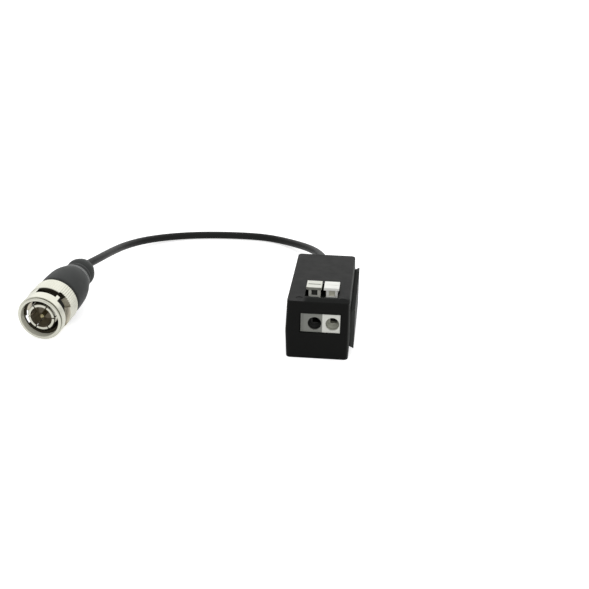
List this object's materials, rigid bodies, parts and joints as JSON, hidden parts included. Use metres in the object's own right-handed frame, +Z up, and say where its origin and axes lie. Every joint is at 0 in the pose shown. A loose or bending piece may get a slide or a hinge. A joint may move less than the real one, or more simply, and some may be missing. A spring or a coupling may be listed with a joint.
{
  "type": "video balun",
  "caption": "Small black housing with a push-button wire terminal in front and a short coaxial lead that ends in a bayonet plug; it carries camera video over twisted pair.",
  "frame": {"origin": "centre of the housing's bottom face, where it stands", "axes": "+Z up, -Y the way the wire terminal faces, +Y towards the lead's exit, +X the side with the joining rail"},
  "size_m": [0.0985, 0.0982, 0.0187],
  "materials": {
    "housing_plastic": "satin",
    "board_laminate": "satin",
    "core_ferrite": "matte",
    "winding_copper": "satin",
    "arrester_metal": "satin",
    "component_plastic": "matte",
    "terminal_grey": "satin",
    "terminal_white": "satin",
    "contact_brass": "satin",
    "spring_steel": "satin",
    "lead_jacket": "satin",
    "cable_copper": "satin",
    "plated_brass": "polished",
    "insulator_plastic": "satin",
    "gold_contact": "polished",
    "gasket_rubber": "matte",
    "boot_rubber": "satin"
  },
  "bodies": {
    "housing": {"upper_shell": "housing_plastic", "lower_shell": "housing_plastic", "circuit_board": "board_laminate", "transformer_core": "core_ferrite", "transformer_winding": "winding_copper", "surge_arrester": "arrester_metal", "surge_suppressor": "component_plastic", "chip_parts": "component_plastic", "terminal_body_grey": "terminal_grey", "terminal_body_white": "terminal_white", "terminal_end_cover": "terminal_grey", "contact_bar_grey": "contact_brass", "contact_bar_white": "contact_brass", "clamp_spring_grey": "spring_steel", "clamp_spring_white": "spring_steel", "cable_bushing": "lead_jacket", "cable_end": "lead_jacket", "centre_lead": "cable_copper", "braid_lead": "cable_copper", "coax_cord": "lead_jacket", "cable_plug_end": "lead_jacket", "plug_body": "plated_brass", "plug_insulator": "insulator_plastic", "centre_pin": "gold_contact", "mating_gasket": "gasket_rubber", "spring_washer": "spring_steel", "retaining_clip": "spring_steel", "crimp_ferrule": "plated_brass", "plug_boot": "boot_rubber"},
    "grey_button": {"button_grey": "terminal_grey"},
    "white_button": {"button_white": "terminal_white"},
    "nut_washer": {"slip_washer": "spring_steel"},
    "nut": {"coupling_nut": "plated_brass"}
  },
  "joints": [
    {"name": "button_grey_press", "type": "slide", "parent": "housing", "child": "grey_button", "axis": [0, 0, -1], "range_m": [0, 0.0006], "stiffness_N_per_m": 400, "springref_m": -0.002, "deforming": ["clamp_spring_grey"]},
    {"name": "button_white_press", "type": "slide", "parent": "housing", "child": "white_button", "axis": [0, 0, -1], "range_m": [0, 0.0006], "stiffness_N_per_m": 400, "springref_m": -0.002, "deforming": ["clamp_spring_white"]},
    {"name": "nut_slide", "type": "slide", "parent": "housing", "child": "nut_washer", "axis": [-0.1103, -0.9911, -0.0741], "range_m": [0, 0.0004], "stiffness_N_per_m": 1500, "springref_m": -0.0004, "deforming": ["spring_washer"]},
    {"name": "nut_turn", "type": "hinge", "parent": "nut_washer", "child": "nut", "pos_m": [-0.0812, -0.0173, 0.00696], "axis": [-0.1103, -0.9911, -0.0741], "continuous": true}
  ]
}
